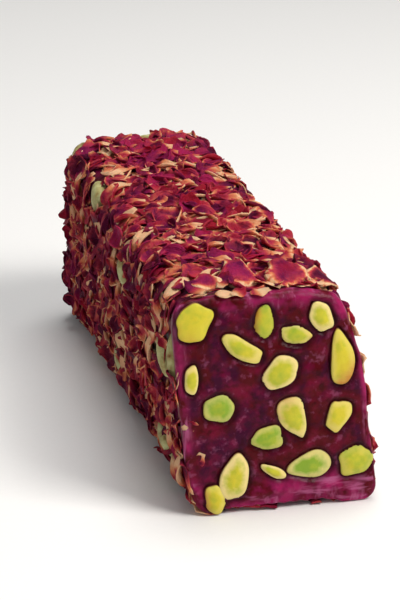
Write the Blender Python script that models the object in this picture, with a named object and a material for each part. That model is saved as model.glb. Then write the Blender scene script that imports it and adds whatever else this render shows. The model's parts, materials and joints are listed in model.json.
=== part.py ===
"""One bar of Turkish delight: starch jelly set round pistachio kernels and rolled in dried rose petals.

The bar lies along Y. Its -Y end is a clean knife cut. Its +Y end is the natural heel of the bar, rounded and coated
like the long sides. The bar is one solid, out to the uneven outline of its petals, and it rests on a flattened base.
"""

import random

import bmesh
import bpy
from mathutils import Vector, noise

MM = 0.001

# Driving sizes of the bar.
LENGTH = 148 * MM
HEIGHT = 58 * MM
WIDTH = 47 * MM
EDGE_RADIUS = 5.5 * MM  # of the long edges and of the heel
CUT_EDGE_ROUND = 0.9 * MM  # the knife leaves a small round on the jelly

# How the soft jelly has settled.
BASE_SPREAD = 1.035  # the base is this much wider than the middle
TOP_SPREAD = 0.955
HEEL_SPREAD = 0.95  # the bar narrows towards its heel
LEAN_AT_CUT = 7.5 * MM  # the top leans this far towards -X at the cut
LEAN_AT_HEEL = 1.5 * MM
SIDE_BULGE = 1.2 * MM
TOP_CROWN = 1.0 * MM
TOP_SAG = 1.2 * MM  # the top dips half way along
PLAN_BOW = 1.4 * MM  # the bar bows sideways, seen from above
LUMP_HEIGHT = 1.1 * MM  # broad unevenness from rolling by hand
LUMP_SPAN = 26 * MM

# The knife's plane: square to Y but for these two tilts.
CUT_LEAN_BACK = 0.075  # the cut's top edge lies this share of the height further back
CUT_SKEW = 0.08  # the cut's +X edge stands this share of the width further forward
CUT_CROWN = 0.6 * MM  # the jelly swells a little out of its cut

# The petals that stick to the long sides and the heel.
PETAL_COUNT = 560
PETAL_LENGTH = (8 * MM, 13 * MM)
PETAL_WIDTH_SHARE = (0.5, 0.8)
PETAL_RISE = (0.4 * MM, 1.7 * MM)
BARE_BAND = 1.5 * MM  # the smooth jelly next to the cut, where no petal lies
BAND_FADE = 3.5 * MM
PETAL_SEED = 11

GRID_SPACING = 3.1 * MM  # of the mesh, away from its edges


def smooth_step(start, end, value):
    """0 up to start and 1 from end, with a smooth rise between them."""
    share = min(1.0, max(0.0, (value - start) / (end - start)))
    return share * share * (3 - 2 * share)


def blend(low, high, share):
    """The value that lies this share of the way from low to high."""
    return low + (high - low) * share


def grid_lines(start, end, first_steps, last_steps):
    """Places along one side of the box: the given short steps at its two ends, and even ones between them."""
    low = [start + step for step in first_steps]
    high = [end - step for step in reversed(last_steps)]
    count = round((high[0] - low[-1]) / GRID_SPACING)
    between = [blend(low[-1], high[0], i / count) for i in range(1, count)]
    return low + between + high


def make_box(bm):
    """The surface of a plain box, gridded on its six sides. It spans LENGTH from y = 0, and stands on z = 0."""
    rounding = (0.0, EDGE_RADIUS / 2, EDGE_RADIUS)
    lines = (
        grid_lines(-WIDTH / 2, WIDTH / 2, rounding, rounding),
        grid_lines(0.0, LENGTH, (0.0, CUT_EDGE_ROUND), rounding),
        grid_lines(0.0, HEIGHT, rounding, rounding),
    )
    corners = {}

    def corner(place):
        """The vertex at this grid place, made the first time that a face asks for it."""
        if place not in corners:
            corners[place] = bm.verts.new([lines[axis][index] for axis, index in enumerate(place)])
        return corners[place]

    for axis in range(3):
        across, along = (axis + 1) % 3, (axis + 2) % 3
        for end in (0, len(lines[axis]) - 1):
            for i in range(len(lines[across]) - 1):
                for j in range(len(lines[along]) - 1):
                    square = []
                    for step_i, step_j in ((0, 0), (1, 0), (1, 1), (0, 1)):
                        place = [end] * 3
                        place[across], place[along] = i + step_i, j + step_j
                        square.append(corner(tuple(place)))
                    bm.faces.new(square if end else square[::-1])


def rounded(point):
    """Where a point of the plain box goes when its edges are rounded, all but those round the cut."""
    inner = Vector((
        min(WIDTH / 2 - EDGE_RADIUS, max(EDGE_RADIUS - WIDTH / 2, point.x)),
        min(LENGTH - EDGE_RADIUS, point.y),
        min(HEIGHT - EDGE_RADIUS, max(EDGE_RADIUS, point.z)),
    ))
    offset = point - inner
    reach = max(abs(part) for part in offset)
    return inner + offset.normalized() * reach


def cut_plane(x, z):
    """How far along Y the knife's plane lies at this place across and up."""
    return CUT_LEAN_BACK * z - CUT_SKEW * x


def settled(point):
    """Where a point of the rounded box goes when the soft bar settles, and the knife has cut its end."""
    share = point.y / LENGTH
    rise = point.z / HEIGHT
    across = 2 * point.x / WIDTH
    middle = 4 * share * (1 - share)
    x = point.x * blend(BASE_SPREAD, TOP_SPREAD, rise) * blend(1.0, HEEL_SPREAD, share)
    x += across * SIDE_BULGE * 4 * rise * (1 - rise)
    x += PLAN_BOW * middle - rise * blend(LEAN_AT_CUT, LEAN_AT_HEEL, share)
    z = point.z + rise * (TOP_CROWN * (1 - across * across) - TOP_SAG * middle)
    y = point.y + cut_plane(x, z) * (1 - share)
    return Vector((x, y, z))


def shape_cut(point):
    """The cut end of the plain box: drawn in by the small round at its edge, and swelling towards its middle."""
    middle = Vector((0, 0, HEIGHT / 2))
    across, up = 2 * point.x / WIDTH, 2 * point.z / HEIGHT - 1
    swell = CUT_CROWN * (1 - across * across) * (1 - up * up)
    drawn_in = 1 - 2 * CUT_EDGE_ROUND / HEIGHT
    return middle + (point - middle) * drawn_in - Vector((0, swell, 0))


def scatter_petals(bm):
    """Where the petals lie: each on a vertex of the settled bar, as (place, half length, half width, rise).

    The two halves are vectors in the skin's plane there, from the petal's middle to its tip and to its side.
    """
    choose = random.Random(PETAL_SEED)
    petals = []
    for _ in range(PETAL_COUNT):
        vertex = choose.choice(bm.verts)
        direction = Vector([choose.gauss(0, 1) for _ in range(3)])
        lengthwise = (direction - vertex.normal * direction.dot(vertex.normal)).normalized()
        length = choose.uniform(*PETAL_LENGTH)
        width = length * choose.uniform(*PETAL_WIDTH_SHARE)
        half_width = vertex.normal.cross(lengthwise) * width / 2
        petals.append((vertex.co.copy(), lengthwise * length / 2, half_width, choose.uniform(*PETAL_RISE)))
    return petals


def petal_rise(point, petals):
    """How far the topmost petal lifts the outline at this point of the smooth skin."""
    highest = 0.0
    for place, half_length, half_width, rise in petals:
        offset = point - place
        if offset.length > half_length.length:
            continue
        reach = sum((offset.dot(half) / half.length_squared) ** 2 for half in (half_length, half_width))
        highest = max(highest, rise * (1 - smooth_step(0.35, 1.0, reach)))
    return highest


def lay_petals(bm):
    """Lifts the coated skin into the uneven outline of its petals. The cut and the band beside it stay smooth."""
    bm.normal_update()
    bm.verts.ensure_lookup_table()
    petals = scatter_petals(bm)
    lifts = []
    for vertex in bm.verts:
        behind_cut = vertex.co.y - cut_plane(vertex.co.x, vertex.co.z)
        coated = smooth_step(BARE_BAND, BARE_BAND + BAND_FADE, behind_cut)
        lump = LUMP_HEIGHT * noise.noise(vertex.co / LUMP_SPAN) * smooth_step(0, BARE_BAND, behind_cut)
        rise = coated * petal_rise(vertex.co, petals)
        lifts.append(vertex.normal * (rise + lump))
    for vertex, lift in zip(bm.verts, lifts):
        vertex.co += lift


def flatten_base(bm, base):
    """Presses the base flat onto what the bar lies on, and keeps everything else above it."""
    for vertex in bm.verts:
        if vertex in base or vertex.co.z < 0:
            vertex.co.z = 0.0


def centre_on_origin(bm):
    """Puts the middle of the bar's box over the origin, in X and Y."""
    for axis in (0, 1):
        places = [vertex.co[axis] for vertex in bm.verts]
        middle = (min(places) + max(places)) / 2
        for vertex in bm.verts:
            vertex.co[axis] -= middle


def petal_coated_jelly():
    """Deep wine-red jelly under its petals, with the soft gloss of sugar syrup."""
    material = bpy.data.materials.new("petal_coated_jelly")
    material.use_nodes = True
    shader = material.node_tree.nodes["Principled BSDF"]
    shader.inputs["Base Color"].default_value = (0.16, 0.022, 0.035, 1)
    shader.inputs["Roughness"].default_value = 0.45
    shader.inputs["Metallic"].default_value = 0.0
    return material


def make_bar():
    """The whole bar as one closed solid."""
    bm = bmesh.new()
    make_box(bm)
    base = {vertex for vertex in bm.verts if vertex.co.z == 0 and abs(vertex.co.x) < WIDTH / 2 - EDGE_RADIUS / 2}
    for vertex in bm.verts:
        at_cut = vertex.co.y == 0
        vertex.co = rounded(vertex.co)
        if at_cut:
            vertex.co = shape_cut(vertex.co)
        vertex.co = settled(vertex.co)
    lay_petals(bm)
    flatten_base(bm, base)
    centre_on_origin(bm)
    bmesh.ops.triangulate(bm, faces=bm.faces)
    mesh = bpy.data.meshes.new("rose_petal_bar")
    bm.to_mesh(mesh)
    bm.free()
    mesh.shade_smooth()
    mesh.materials.append(petal_coated_jelly())
    bar = bpy.data.objects.new("rose_petal_bar", mesh)
    bpy.context.scene.collection.objects.link(bar)
    return bar


def main():
    for old in list(bpy.data.objects):
        bpy.data.objects.remove(old)
    make_bar()


main()
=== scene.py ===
"""The looks of one bar of Turkish delight: wine-red jelly with pistachios, rolled in dried rose petals.

The jelly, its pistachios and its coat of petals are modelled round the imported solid, each as its own pieces.
"""

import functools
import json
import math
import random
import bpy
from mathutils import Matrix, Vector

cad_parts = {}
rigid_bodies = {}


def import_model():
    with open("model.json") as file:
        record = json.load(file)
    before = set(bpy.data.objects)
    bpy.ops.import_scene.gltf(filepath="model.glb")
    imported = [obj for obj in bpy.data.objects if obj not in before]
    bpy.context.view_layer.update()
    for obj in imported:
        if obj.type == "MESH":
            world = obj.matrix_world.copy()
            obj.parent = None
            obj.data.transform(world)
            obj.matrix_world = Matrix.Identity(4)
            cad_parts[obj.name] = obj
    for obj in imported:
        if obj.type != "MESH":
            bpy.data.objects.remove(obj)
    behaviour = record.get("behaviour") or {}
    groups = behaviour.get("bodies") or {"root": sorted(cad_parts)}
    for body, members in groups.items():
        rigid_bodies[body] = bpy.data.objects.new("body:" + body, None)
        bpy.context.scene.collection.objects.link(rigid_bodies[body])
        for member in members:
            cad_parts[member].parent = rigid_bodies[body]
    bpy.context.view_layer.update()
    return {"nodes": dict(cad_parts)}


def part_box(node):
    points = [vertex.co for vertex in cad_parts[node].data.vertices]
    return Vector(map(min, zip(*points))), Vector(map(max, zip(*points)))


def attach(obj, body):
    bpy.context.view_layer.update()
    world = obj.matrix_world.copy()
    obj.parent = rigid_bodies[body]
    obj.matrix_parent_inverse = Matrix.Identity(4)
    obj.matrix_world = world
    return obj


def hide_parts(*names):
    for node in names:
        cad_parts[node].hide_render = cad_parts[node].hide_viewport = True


bl_info = {
    "name": "Rose Petal Turkish Delight",
    "version": (1, 0, 0),
    "blender": (4, 5, 0),
    "location": "View3D > Sidebar > Turkish Delight",
    "description": "Makes a cut bar of jelly with pistachios and a coat of dried rose petals",
    "category": "Object",
}

import bmesh
import bpy
import numpy as np
from bpy.props import FloatProperty, FloatVectorProperty, IntProperty, PointerProperty
from mathutils import Matrix, Vector, noise
from mathutils.bvhtree import BVHTree

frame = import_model()

MM = 0.001
NODE = "rose_petal_bar"
BODY = "root"
BOX_LOW, BOX_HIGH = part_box(NODE)
BAR_LENGTH = BOX_HIGH.y - BOX_LOW.y
BAR_WIDTH = BOX_HIGH.x - BOX_LOW.x
BAR_HEIGHT = BOX_HIGH.z - BOX_LOW.z
HALF_HEIGHT = BAR_HEIGHT / 2
BAR_MIDDLE = (BOX_LOW + BOX_HIGH) / 2
COAT = "coat"  # the attribute on the jelly that says how thickly petals lie there
SHREDS = "shreds"  # the same for the smallest shreds of petal
HEEL = "heel"  # the same for the petals that have sunk into the heel

# The grid that the jelly is modelled on.
CELLS_ON_SIDE = 120  # along each of the four sides of the bar's section
SECTIONS = 62  # along the bar, up to where the heel begins
HEEL_SECTIONS = 10  # round the edge of the heel
EDGE_SECTIONS = 5  # round the edge of the cut


def colour(hex_code):
    """An sRGB colour such as "#8e1f34", as the linear RGBA that Blender works in."""
    channels = [int(hex_code[i : i + 2], 16) / 255 for i in (1, 3, 5)]
    return [c / 12.92 if c <= 0.04045 else ((c + 0.055) / 1.055) ** 2.4 for c in channels] + [1.0]


def smooth_step(start, end, value):
    """0 up to start and 1 from end, with a smooth rise between them. Takes a number or an array."""
    share = np.clip((value - start) / (end - start), 0.0, 1.0)
    return share * share * (3 - 2 * share)


def blend(low, high, share):
    """The value that lies this share of the way from low to high."""
    return low + (high - low) * share


def length_property(name, description, millimetres):
    """A setting that is a length, with its default in millimetres."""
    return FloatProperty(name=name, description=description, default=millimetres * MM, min=0.0, unit="LENGTH")


def colour_property(name, description, hex_code):
    """A setting that is a colour."""
    return FloatVectorProperty(
        name=name, description=description, default=colour(hex_code), size=4, min=0.0, max=1.0, subtype="COLOR"
    )


def angle_property(name, description, degrees):
    """A setting that is an angle, with its default in degrees."""
    return FloatProperty(name=name, description=description, default=math.radians(degrees), subtype="ANGLE")


# Settings


class JellySettings(bpy.types.PropertyGroup):
    """Sizes and colours of the jelly"""

    coat_depth: length_property("Coat depth", "How deep the jelly lies under the outline of its petals", 1.3)
    top_round: length_property("Top edge round", "Round of the cut's top edge, where the knife went in", 2.4)
    side_round: length_property("Side edge round", "Round of the cut's other edges", 1.0)
    crown: length_property("Crown", "How far the soft jelly swells out of its cut", 0.5)
    lip: length_property("Lip", "How far the knife drags the jelly out along the cut's bottom edge", 0.9)
    bare_top: length_property("Bare top", "How far behind the cut the petals begin, on the top", 6.0)
    bare_side: length_property("Bare side", "How far behind the cut the petals begin, on the other sides", 2.0)
    groove: length_property("Groove", "Depth of the gap between the jelly and each cut kernel", 0.7)
    deep_red: colour_property("Deep red", "The jelly where it is thick", "#520a12")
    deep_purple: colour_property("Deep purple", "The jelly where berry colours it most", "#3e0828")
    bright: colour_property("Bright streaks", "The jelly where it is streaked", "#7e1238")
    # Painted glow: the edge colour stands in for light shining through the thin jelly at the cut's edges and foot.
    edge: colour_property("Edge colour", "The jelly where it is thin, at its edges", "#a0225a")
    # Painted highlight: this colour paints lilac streaks of light glancing off the jelly along the cut's edges, and
    # also pale blotches in the jelly.
    highlight_and_blotch: colour_property("Smears", "Where the knife has dragged the jelly along its edges", "#b05c86")
    # Painted shade round each cut kernel; the same colour also makes dark blotches in the jelly.
    kernel_shade_and_blotch: colour_property("Hollows", "The jelly in the shade round each kernel", "#2a0608")


class KernelSettings(bpy.types.PropertyGroup):
    """Sizes and colours of the pistachio kernels"""

    length: length_property("Kernel length", "Length of a whole kernel", 15)
    width: length_property("Kernel width", "Width of a whole kernel", 8)
    count: IntProperty(name="Kernels at the skin", description="How many kernels press out of the sides", default=16)
    yellow: colour_property("Ripe colour", "The flesh of a ripe kernel", "#d4c430")
    green: colour_property("Green colour", "The flesh of an early kernel", "#86a62c")
    pale: colour_property("Rim colour", "The flesh next to a kernel's skin", "#ead48c")
    blush: colour_property("Blush", "Flesh that its brown skin has stained", "#b8641c")
    skin: colour_property("Skin colour", "A kernel's papery skin", "#7a4626")
    olive: colour_property("Olive", "A whole kernel's skin where it is thin", "#a89e66")
    dull_green: colour_property("Dull green", "A whole kernel where its skin is rubbed off", "#c0c08a")


class PetalSettings(bpy.types.PropertyGroup):
    """Sizes and colours of the dried rose petals"""

    length: length_property("Petal length", "Length of a dried petal", 10.5)
    thickness: length_property("Petal thickness", "Thickness of a dried petal", 0.26)
    lift: length_property("Lift", "How high the topmost petals lie above the jelly", 1.4)
    seed: IntProperty(name="Seed", description="Changes where every petal lies", default=4)
    # The pale colours paint claws, folded backs and rims; on the rims they are partly painted highlight.
    cream: colour_property("Cream", "The palest claws and rims", "#f2c094")
    peach: colour_property("Peach", "Claws and rims", "#dc8458")
    salmon: colour_property("Salmon", "Where a claw turns into the blade", "#b43844")
    red: colour_property("Red", "The brightest red blades", "#9c1228")
    crimson: colour_property("Crimson", "Most red blades", "#7e0a28")
    magenta: colour_property("Magenta", "The brightest purple blades", "#a01c50")
    plum: colour_property("Plum", "Most purple blades", "#640c3c")
    wine: colour_property("Wine", "The darkest blades", "#4a0828")


class StageSettings(bpy.types.PropertyGroup):
    """The floor, the lights and the camera"""

    floor: colour_property("Floor colour", "The pale floor", "#f3f2f0")
    azimuth: angle_property("Azimuth", "The camera's angle round the bar", -17)
    elevation: angle_property("Elevation", "The camera's angle above the floor", 22)
    distance: length_property("Distance", "From the camera to the middle of the bar", 620)
    lens: FloatProperty(name="Lens", description="Focal length of the camera, in millimetres", default=130)


# Nodes


def add_node(tree, kind, settings=None, inputs=None):
    """Adds a node. Its settings are its own values, and its inputs are values or other nodes' outputs to link."""
    node = tree.nodes.new(kind)
    for name, value in (settings or {}).items():
        setattr(node, name, value)
    for socket, value in (inputs or {}).items():
        if isinstance(value, bpy.types.NodeSocket):
            tree.links.new(value, node.inputs[socket])
        else:
            node.inputs[socket].default_value = value
    return node


def new_material(name):
    """An empty material with its shader and its output, as (material, tree, shader)."""
    material = bpy.data.materials.new(name)
    material.use_nodes = True
    tree = material.node_tree
    tree.nodes.clear()
    shader = add_node(tree, "ShaderNodeBsdfPrincipled")
    add_node(tree, "ShaderNodeOutputMaterial", inputs={"Surface": shader.outputs["BSDF"]})
    return material, tree, shader


def fine_noise(tree, size, detail=3.0, offset=0.0, stretch=(1.0, 1.0, 1.0)):
    """A noise on the object's own coordinates. Its patches are this many metres across, or more where stretched."""
    place = add_node(tree, "ShaderNodeTexCoord").outputs["Object"]
    squeeze = tuple(1 / part for part in stretch)
    moved = add_node(
        tree, "ShaderNodeMapping", inputs={"Vector": place, "Location": (offset, offset, offset), "Scale": squeeze}
    )
    texture = add_node(
        tree,
        "ShaderNodeTexNoise",
        inputs={"Vector": moved.outputs[0], "Scale": 1 / size, "Detail": detail, "Roughness": 0.55},
    )
    return texture.outputs["Fac"]


def ramp(tree, value, stops, interpolation="LINEAR"):
    """A colour that follows a value through these (place, colour) stops."""
    node = add_node(tree, "ShaderNodeValToRGB", inputs={"Fac": value})
    node.color_ramp.interpolation = interpolation
    elements = node.color_ramp.elements
    while len(elements) < len(stops):
        elements.new(1.0)
    for element, (place, stop_colour) in zip(elements, stops):
        element.position = place
        element.color = tuple(stop_colour)
    return node.outputs["Color"]


def attribute(tree, name):
    """A number stored on the piece's mesh."""
    return add_node(tree, "ShaderNodeAttribute", {"attribute_name": name}).outputs["Fac"]


def calculate(tree, operation, first, second=0.0, third=0.0, clamp=False):
    """One sum on two or three numbers."""
    settings = {"operation": operation, "use_clamp": clamp}
    return add_node(tree, "ShaderNodeMath", settings, {0: first, 1: second, 2: third}).outputs[0]


def mixed(tree, share, first, second, blend_type="MIX"):
    """Two colours mixed by a share. Either may be a value or another node's output."""
    node = add_node(
        tree,
        "ShaderNodeMix",
        {"data_type": "RGBA", "blend_type": blend_type, "clamp_factor": True},
        {0: share, 6: first, 7: second},
    )
    return node.outputs[2]


def add_bump(tree, shader, height, depth, strength=1.0):
    """Roughens the surface by a height from 0 to 1, worth this depth in metres."""
    bump = add_node(tree, "ShaderNodeBump", inputs={"Height": height, "Distance": depth, "Strength": strength})
    tree.links.new(bump.outputs["Normal"], shader.inputs["Normal"])


# Meshes


def new_piece(name, mesh, material):
    """Puts a finished mesh into the scene as a piece of the bar. Nothing of it reaches below the board."""
    for vertex in mesh.vertices:
        vertex.co.z = max(vertex.co.z, 0.0)
    mesh.name = name
    mesh.materials.clear()
    mesh.materials.append(material)
    mesh.shade_smooth()
    piece = bpy.data.objects.new(name, mesh)
    bpy.context.scene.collection.objects.link(piece)
    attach(piece, BODY)
    return piece


def store_numbers(mesh, name, values):
    """Stores one number on each vertex."""
    mesh.attributes.new(name, "FLOAT", "POINT").data.foreach_set("value", np.asarray(values, np.float32))


def grid_faces(index, flip=False):
    """The faces of a grid, from a 2-D array of its vertices' numbers."""
    corners = (index[:-1, :-1], index[:-1, 1:], index[1:, 1:], index[1:, :-1])
    faces = np.stack([corner.ravel() for corner in corners], axis=1)
    return (faces[:, ::-1] if flip else faces).tolist()


# The bar's skin, read from the frame


@functools.cache
def skin():
    """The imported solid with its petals' relief smoothed away, as a tree to cast rays at, and the plane of its cut.

    The plane is (place, slope across, slope up): how far along Y it lies at the bar's axis, and how Y changes with
    X and Z.
    """
    bm = bmesh.new()
    bm.from_mesh(frame["nodes"][NODE].data)
    bmesh.ops.remove_doubles(bm, verts=bm.verts, dist=0.01 * MM)
    bm.normal_update()
    cut = [vertex for vertex in bm.verts if vertex.normal.y < -0.97 and vertex.co.y < BAR_MIDDLE.y]
    places = np.array([(1.0, vertex.co.x, vertex.co.z - HALF_HEIGHT) for vertex in cut])
    plane = np.linalg.lstsq(places, np.array([vertex.co.y for vertex in cut]), rcond=None)[0]
    at_cut = set(cut)
    coated = [vertex for vertex in bm.verts if vertex not in at_cut and vertex.co.y > BOX_LOW.y + 10 * MM]
    for _ in range(3):
        bmesh.ops.smooth_vert(bm, verts=coated, factor=0.5, use_axis_x=True, use_axis_y=True, use_axis_z=True)
    smoothed = bpy.data.meshes.new("smoothed_skin")
    bm.to_mesh(smoothed)
    bm.free()
    holder = bpy.data.objects.new("smoothed_skin", smoothed)
    bpy.context.scene.collection.objects.link(holder)
    finer = holder.modifiers.new("finer", "SUBSURF")
    finer.levels = finer.render_levels = 1
    tree = BVHTree.FromObject(holder, bpy.context.evaluated_depsgraph_get())
    bpy.data.objects.remove(holder)
    return tree, plane


def section_square():
    """Places round a square from -1 to 1, as (across, up), anticlockwise seen from the cut, from its lower left."""
    steps = np.linspace(-1, 1, CELLS_ON_SIDE, endpoint=False)
    ones = np.ones(CELLS_ON_SIDE)
    sides = [(steps, -ones), (ones, steps), (-steps, ones), (-ones, -steps)]
    return np.concatenate([np.stack(side, axis=1) for side in sides])


def coat_depth(behind, settings):
    """How deep the jelly lies under the skin, this far behind the cut, where the bare band gives way to petals."""
    return settings.coat_depth * float(smooth_step(1.5 * MM, 7 * MM, behind))


def cast(origin, direction):
    """The distance from a point inside the bar to its smoothed skin, as a multiple of the direction."""
    length = direction.length
    hit = skin()[0].ray_cast(origin, direction / length)
    if hit[3] is None:
        raise RuntimeError("a ray from inside the bar missed its skin")
    return hit[3] / length


def inside_skin(origin, direction, depth):
    """A point on the jelly's surface, this deep under the skin, out from the origin."""
    reach = cast(origin, direction) * (1 - depth / HALF_HEIGHT)
    return origin + direction * reach


def section_points(along, depth, square):
    """Points round the jelly at a distance behind the cut. The section is as oblique as the cut, and less further on."""
    _, (place, slope_x, slope_z) = skin()
    run = BAR_LENGTH - HALF_HEIGHT
    oblique = 1 - min(1.0, along / run)
    origin = Vector((0, place + along, HALF_HEIGHT))
    points = []
    for across, up in square:
        x, z = across * BAR_WIDTH / 2, up * HALF_HEIGHT
        direction = Vector((x, oblique * (slope_x * x + slope_z * z), z))
        points.append(inside_skin(origin, direction, depth))
    return np.array(points)


def heel_points(turn, depth, square):
    """Points on the jelly's heel, out from a centre half a height inside it: turn goes from 0, sideways, to 1."""
    origin = Vector((0, BOX_HIGH.y - HALF_HEIGHT, HALF_HEIGHT))
    directions = [Vector((a * BAR_WIDTH / 2, turn * HALF_HEIGHT, u * HALF_HEIGHT)) for a, u in square]
    return np.array([inside_skin(origin, direction, depth) for direction in directions])


def fill_square(ring):
    """A grid of points that fills a ring of four sides, as an array of (up, across, xyz)."""
    n = CELLS_ON_SIDE
    bottom, right = ring[0 : n + 1], ring[n : 2 * n + 1]
    top = ring[2 * n : 3 * n + 1][::-1]
    left = np.concatenate([ring[3 * n :], ring[:1]])[::-1]
    across = np.linspace(0, 1, n + 1)[None, :, None]
    up = np.linspace(0, 1, n + 1)[:, None, None]
    between_ends = blend(bottom[None], top[None], up)
    between_sides = blend(left[:, None], right[:, None], across)
    corners = blend(blend(bottom[0], bottom[-1], across), blend(top[0], top[-1], across), up)
    return between_ends + between_sides - corners


@functools.cache
def cut_frame():
    """The directions of the cut: to its right, up it, and out of it."""
    _, (_, slope_x, slope_z) = skin()
    outward = Vector((slope_x, -1, slope_z)).normalized()
    rightward = Vector((1, slope_x, 0)).normalized()
    upward = outward.cross(rightward).normalized()
    return rightward, -upward if upward.z < 0 else upward, outward


def edge_round(up, settings):
    """The round of the cut's edge, at this height from -1 to 1."""
    return blend(settings.side_round, settings.top_round, smooth_step(0.75, 0.97, up))


@functools.cache
def cut_rings():
    """The rings of the cut's rounded edge, from the flat of the cut to the skin, as arrays of points."""
    settings = bpy.context.scene.delight_jelly
    square = section_square()
    radius = np.array([edge_round(up, settings) for _, up in square])[:, None]
    outer = smoothed_round(section_points(2.5 * MM, 0.0, square), 3)
    _, (place, slope_x, slope_z) = skin()
    middle = np.array((0, 0, HALF_HEIGHT))
    rings = []
    for step in range(EDGE_SECTIONS + 1):
        angle = math.pi / 2 * step / EDGE_SECTIONS
        points = middle + (outer - middle) * (1 - radius * (1 - math.sin(angle)) / HALF_HEIGHT)
        plane = place + slope_x * points[:, 0] + slope_z * (points[:, 2] - HALF_HEIGHT)
        points[:, 1] = plane + radius[:, 0] * (1 - math.cos(angle))
        rings.append(points)
    return rings


def smoothed_round(ring, times):
    """A closed ring of points with its small kinks smoothed away."""
    for _ in range(times):
        ring = (np.roll(ring, 1, axis=0) + 2 * ring + np.roll(ring, -1, axis=0)) / 4
    return ring


# Cut kernels: where each lies on the cut, its section's shape, and its ripeness.


class CutKernel:
    """One pistachio kernel that the knife went through.

    right and up place its middle on the cut, from the middle of the cut. length and width are its section's, and
    tilt turns its length anticlockwise from the horizontal, in degrees. taper narrows one end, bend curves it,
    square fills out its corners and facet flattens it unevenly. proud is how far it stands out of the cut. ripe is 1
    for yellow and 0 for green flesh, and cream is how pale its rim is. blush is how much of its brown skin shows, on
    the side at blush_turn degrees. The lengths are in millimetres.
    """

    def __init__(
        self, right, up, length, width, tilt, taper=0.0, bend=0.0, square=0.0, facet=0.05, proud=0.1, ripe=0.8,
        cream=0.5, blush=0.0, blush_turn=0.0,
    ):
        self.right, self.up = right * MM, up * MM
        self.length, self.width = length * MM, width * MM
        self.tilt = math.radians(tilt)
        self.taper, self.bend, self.square, self.facet = taper, bend, square, facet
        self.proud, self.ripe, self.cream = proud * MM, ripe, cream
        self.blush, self.blush_turn = blush, math.radians(blush_turn)

    def outline(self, angle):
        """The edge of the section at an angle, as (right, up) from its middle."""
        power = 1 / (1 + self.square)
        share = math.copysign(abs(math.cos(angle)) ** power, math.cos(angle))
        side = math.copysign(abs(math.sin(angle)) ** power, math.sin(angle))
        along = share * self.length / 2
        side = self.width / 2 * side * (1 - self.taper * share) + self.bend * self.width * (share * share - 0.4)
        uneven = 1 + self.facet * math.cos(3 * angle + self.right / MM) + self.facet * math.cos(5 * angle + self.up / MM)
        cos_tilt, sin_tilt = math.cos(self.tilt) * uneven, math.sin(self.tilt) * uneven
        return along * cos_tilt - side * sin_tilt, along * sin_tilt + side * cos_tilt

    def middle(self):
        """The section's middle, on the plane of the cut."""
        rightward, upward, _ = cut_frame()
        return Vector((0, skin()[1][0], HALF_HEIGHT)) + rightward * self.right + upward * self.up


CUT_KERNELS = (
    CutKernel(
        -22.6, 23.0, 10.4, 8.6, 62, taper=0.1, square=0.25, facet=0.06, proud=0.35, ripe=0.95, cream=0.05, blush=0.5,
        blush_turn=230,
    ),
    CutKernel(-10.3, 14.9, 12.0, 5.0, -36, bend=0.14, square=0.3, facet=0.03, proud=0.25, ripe=0.75, cream=0.5),
    CutKernel(
        -4.5, 21.6, 9.0, 5.4, 90, taper=0.12, facet=0.03, proud=-0.3, ripe=0.5, cream=0.1, blush=0.9, blush_turn=170
    ),
    CutKernel(4.0, 17.3, 8.6, 5.0, -14, taper=0.25, facet=0.03, proud=-0.2, ripe=0.6, cream=0.5, blush=0.3),
    CutKernel(10.5, 21.7, 8.4, 5.8, -68, square=0.15, facet=0.04, ripe=0.7, cream=0.9),
    CutKernel(
        15.7, 10.4, 15.4, 6.2, -86, taper=-0.25, bend=-0.14, facet=0.02, proud=0.5, ripe=1.0, cream=0.3, blush=0.9,
        blush_turn=-60,
    ),
    CutKernel(-0.6, 7.4, 10.4, 7.8, 43, taper=-0.22, square=0.1, facet=0.04, proud=0.3, ripe=0.85, cream=1.0),
    CutKernel(-23.6, 7.6, 7.8, 3.6, 88, square=0.2, facet=0.03, proud=0.1, ripe=0.9, cream=0.8),
    CutKernel(-16.6, -0.8, 8.2, 7.4, -6, square=0.1, facet=0.04, ripe=0.1, cream=0.4),
    CutKernel(
        3.2, -5.4, 12.0, 6.8, -68, taper=0.58, bend=0.06, square=0.1, facet=0.03, proud=0.2, ripe=0.75, cream=0.8,
        blush=0.5, blush_turn=140,
    ),
    CutKernel(15.0, -5.6, 8.6, 5.9, 63, taper=-0.1, square=0.35, facet=0.05, proud=0.3, ripe=1.0, cream=0.4),
    CutKernel(-4.0, -10.1, 8.6, 6.2, 4, taper=-0.25, square=0.2, facet=0.04, ripe=0.25, cream=0.4),
    CutKernel(6.9, -18.6, 12.0, 7.0, 9, taper=-0.45, square=0.05, facet=0.02, proud=0.15, ripe=0.0, cream=0.7),
    CutKernel(
        19.8, -18.7, 9.2, 8.0, 14, square=0.2, facet=0.05, proud=-0.1, ripe=0.5, cream=0.2, blush=0.3, blush_turn=200
    ),
    CutKernel(-12.7, -20.0, 13.0, 7.6, 77, taper=0.1, facet=0.03, proud=0.3, ripe=0.6, cream=1.0),
    CutKernel(
        -18.0, -25.6, 8.2, 5.4, -80, taper=-0.1, square=0.1, facet=0.04, proud=0.2, ripe=0.9, cream=0.3, blush=0.8,
        blush_turn=190,
    ),
    CutKernel(-2.4, -19.4, 7.8, 2.8, -29, taper=-0.15, facet=0.02, proud=0.1, ripe=0.7, cream=0.9),
)


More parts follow.
